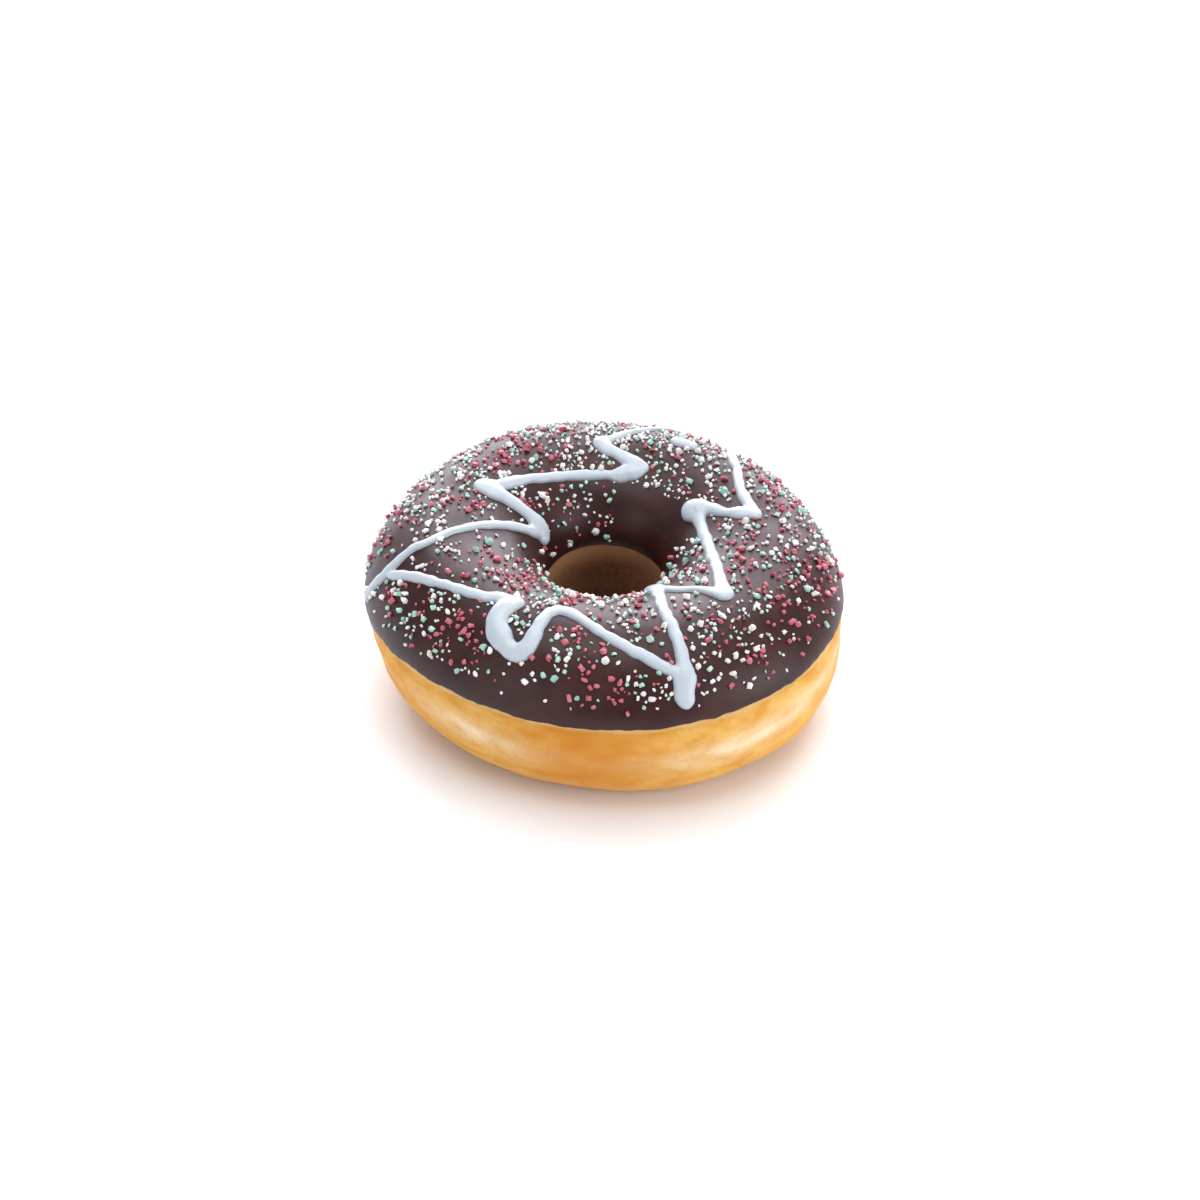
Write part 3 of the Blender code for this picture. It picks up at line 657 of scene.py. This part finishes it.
# the other nibs: drawn evenly by area, thinned or thickened by patches, seldom just above the lower
# edge, clear of the drizzle and not on top of each other
def otherNibPlaces(large):
    rng = np.random.default_rng(nibs["otherSeed"])
    draws = rng.uniform(0, 1, (nibs["draws"], 5))
    azimuth = draws[:, 0] * 2 * math.pi
    outerEdge, innerEdge = shellEdges(azimuth)
    turn = outerEdge + draws[:, 1] * (innerEdge - outerEdge)
    radius, _ = section(azimuth, turn)
    points = shellPoints(azimuth, turn)
    aboveEdge, belowEdge = np.degrees(turn - outerEdge), np.degrees(innerEdge - turn)
    wallFrom, wallTo, wallTurn = np.radians(nibs["bareWall"])
    bareWall = (azimuth > wallFrom) & (azimuth < wallTo) & (turn > wallTurn)
    chance = nibs["chance"] * radius / ring["outerRadius"] * smoothStep(aboveEdge, *nibs["edgeFade"])
    chance = chance * smoothStep(belowEdge, *nibs["holeFade"])
    for seed, (strength, wavelength) in enumerate(nibs["clumps"], start=81):
        chance = chance * np.clip(1 + strength * unevenness(points, wavelength, seed), 0.05, None)
    for middle, middleTurn, reach, change in nibs["patches"]:
        away = np.linalg.norm(points - shellPoints(math.radians(middle), math.radians(middleTurn)), axis=1)
        chance = chance * (1 + change * np.exp(-(away / reach) ** 2))
    wanted = (draws[:, 2] < chance) & ~bareWall & (belowEdge > nibs["holeFade"][0])
    low, high = nibs["otherSizes"]
    sizes = low + (high - low) * draws[:, 3] ** nibs["sizeFall"]
    strokePoints, strokeWidths = drizzleCover(0.8)
    places = np.column_stack([azimuth, turn, sizes])[wanted]
    points = points[wanted]
    kept = np.vstack([large, np.zeros((nibs["otherCount"], 3))])
    keptPoints = np.vstack([shellPoints(large[:, 0], large[:, 1]), np.zeros((nibs["otherCount"], 3))])
    count = len(large)
    for place, point in zip(places, points):
        gaps = np.linalg.norm(strokePoints - point, axis=1) - strokeWidths
        between = np.linalg.norm(keptPoints[:count] - point, axis=1)
        least = (kept[:count, 2] + place[2]) * nibs["crowding"]
        if gaps.min() < nibs["otherClear"] or (between < least).any():
            continue
        kept[count], keptPoints[count] = place, point
        count += 1
        if count == len(kept):
            break
    return kept[:count]


# one nib as a superellipsoid on a grid: x = c(v) c(u), y = c(v) s(u), z = s(v), with c and s the
# cosine and sine raised to the blockiness and keeping their signs; triangles, with a point at each pole
def nibShape():
    def power(values):
        return np.sign(values) * np.abs(values) ** nibs["blockiness"]
    around = np.linspace(0, 2 * math.pi, nibs["around"], endpoint=False) + 0.3
    up = np.linspace(-math.pi / 2, math.pi / 2, nibs["rings"] + 2)[1:-1, None]
    x = power(np.cos(up)) * power(np.cos(around))
    y = power(np.cos(up)) * power(np.sin(around))
    z = power(np.sin(up)) + 0 * around
    body = np.stack([x, y, z], axis=-1).reshape(-1, 3)
    points = np.vstack([body, [[0, 0, -1], [0, 0, 1]]])
    quads = gridFaces(nibs["rings"], nibs["around"], closeRows=False)
    column = np.arange(nibs["around"])
    after = (column + 1) % nibs["around"]
    top = (nibs["rings"] - 1) * nibs["around"]
    south = np.stack([after, column, 0 * column + len(body)], axis=-1)
    north = np.stack([column + top, after + top, 0 * column + len(body) + 1], axis=-1)
    return points, np.vstack([quads[:, :3], quads[:, [0, 2, 3]], south, north])


# every nib of one colour in one mesh: shape * roughness * slenderness, turned at random, then moved
def makeNibs(name, places, seed):
    rng = np.random.default_rng(seed)
    shape, triangles = nibShape()
    count = len(places)
    grains = shape * rng.uniform(*nibs["roughness"], (count, len(shape), 1))
    grains = grains * rng.uniform(*nibs["slenderness"], (count, 1, 3)) * places[:, 2, None, None] / 2
    turnings, _ = np.linalg.qr(rng.normal(size=(count, 3, 3)))
    turnings = turnings * np.sign(np.linalg.det(turnings))[:, None, None]
    grains = np.einsum("nij,nkj->nki", turnings, grains)
    lifted = shellRaise(places[:, 0], places[:, 1]) + places[:, 2] * nibs["lift"]
    grains = withinBox(grains + ringPoints(places[:, 0], places[:, 1], lifted)[:, None, :])
    faces = triangles[None] + (np.arange(count) * len(shape))[:, None, None]
    piece = makePiece(name, grains, faces.reshape(-1, 3), smooth=False)
    addAttribute(piece, "tone", np.repeat(rng.uniform(0, 1, count), len(shape)))
    return piece


# Crushed sugar nibs, dyed and polished: hard broken grains, matt with a slight glint, each its own tone.
def dyedSugar(name, light, deep):
    material, tree, shader = startMaterial("dyed_" + name, {
        "Roughness": 0.42, "IOR": 1.53, "Subsurface Weight": 0.2, "Subsurface Scale": 0.0008,
        "Subsurface Radius": (1.0, 0.8, 0.8)})
    tone = addNode(tree, "ShaderNodeAttribute", {"attribute_name": "tone"})
    colour = addNode(tree, "ShaderNodeMix", {"data_type": "RGBA"}, {
        0: (tone, "Fac"), 6: linear(light), 7: linear(deep)})
    tree.links.new(colour.outputs[2], shader.inputs["Base Color"])
    return material


# a rank from 0 to 1 for each nib, which decides its colour: luck + huddle * smooth field, plus
# pull * exp(-(distance / radius)^2) at the places; ranking keeps each colour's share as it is
def colourRanks(places):
    points = shellPoints(places[:, 0], places[:, 1])
    luck = np.random.default_rng(5).normal(size=len(places)) + nibs["huddle"] * unevenness(points, 6.5, 83)
    for azimuth, turn, reach, pull in nibs["colourPlaces"]:
        away = np.linalg.norm(points - shellPoints(math.radians(azimuth), math.radians(turn)), axis=1)
        luck = luck + pull * np.exp(-(away / reach) ** 2)
    return luck.argsort().argsort() / len(places)


nibPlaces = otherNibPlaces(largeNibPlaces())
colourRank = colourRanks(nibPlaces)
start = 0.0
for number, (nibName, light, deep, portion) in enumerate(nibs["kinds"]):
    chosen = (colourRank >= start) & (colourRank < start + portion)
    start += portion
    nibPiece = makeNibs(nibName, nibPlaces[chosen], 90 + number)
    nibPiece.data.materials.append(dyedSugar(nibName, light, deep))
    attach(nibPiece, "root")
    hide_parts("chocolate_glaze")
print("nibs made:", len(nibPlaces))


# Floor, light and camera

studio = {
    "floorSize": 12.0, "floorColour": "F6F8FA", "worldColour": "F3F6FF", "worldStrength": 0.40,
    # name, place, what it faces, size across and up, power and colour
    "lights": (("back_window", (0.06, 1.15, 0.72), (0, 0, 0.05), (1.5, 1.1), 23.5, "F6F3FF"),
               ("back_horizon", (0, 1.40, 0.30), (0, 0, 0.02), (2.1, 0.5), 12.5, "F9F8FF"),
               ("right_softbox", (1.18, -0.50, 0.46), (0, 0, 0.02), (0.9, 0.8), 8.5, "FFFFFF"),
               ("left_front_softbox", (-0.90, -0.95, 0.50), (0, 0, 0.02), (0.8, 0.8), 3.2, "FFFFFF"),
               ("top_softbox", (0, 0, 1.40), (0, 0, 0.02), (1.3, 1.0), 13.0, "FFFFFF")),
    "cameraTarget": (-1.26, 0.0, 16.34), "cameraDistance": 451.7, "cameraElevation": 35.9, "lens": 72.2,
}


# a plain board that the doughnut stands on
def makeFloor():
    half = studio["floorSize"] / 2
    mesh = bpy.data.meshes.new("pale_floor")
    corners = [(-half, -half, 0), (half, -half, 0), (half, half, 0), (-half, half, 0)]
    mesh.from_pydata(corners, [], [(0, 1, 2, 3)])
    floor = bpy.data.objects.new("pale_floor", mesh)
    bpy.context.scene.collection.objects.link(floor)
    material, _, _ = startMaterial("painted_board", {
        "Base Color": linear(studio["floorColour"]), "Roughness": 0.8, "Specular IOR Level": 0.2})
    mesh.materials.append(material)


# an object at a place, its own -Z turned towards the target
def aim(item, place, target):
    item.location = place
    item.rotation_euler = (Vector(target) - Vector(place)).to_track_quat("-Z", "Y").to_euler()
    bpy.context.scene.collection.objects.link(item)


# soft boxes behind, above and at both sides, in a white room
def makeLights():
    for name, place, target, (across, up), power, hexColour in studio["lights"]:
        lamp = bpy.data.lights.new(name, "AREA")
        lamp.shape = "RECTANGLE"
        lamp.size, lamp.size_y = across, up
        lamp.energy = power
        lamp.color = linear(hexColour)[:3]
        aim(bpy.data.objects.new(name, lamp), place, target)
    world = bpy.data.worlds.new("white_room")
    world.use_nodes = True
    background = world.node_tree.nodes["Background"]
    background.inputs["Color"].default_value = linear(studio["worldColour"])
    background.inputs["Strength"].default_value = studio["worldStrength"]
    bpy.context.scene.world = world
    bpy.context.scene.view_settings.view_transform = "Standard"


# at distance * (0, -cos(elevation), sin(elevation)) from its target
def makeCamera():
    elevation = math.radians(studio["cameraElevation"])
    target = (np.array(studio["cameraTarget"]) + ringShift) * mm
    away = np.array([0, -math.cos(elevation), math.sin(elevation)]) * studio["cameraDistance"] * mm
    camera = bpy.data.objects.new("photo_view", bpy.data.cameras.new("photo_view"))
    camera.data.lens = studio["lens"]
    camera.data.clip_start = 0.01
    aim(camera, target + away, target)
    bpy.context.scene.camera = camera


makeFloor()
makeLights()
makeCamera()
print("studio made")
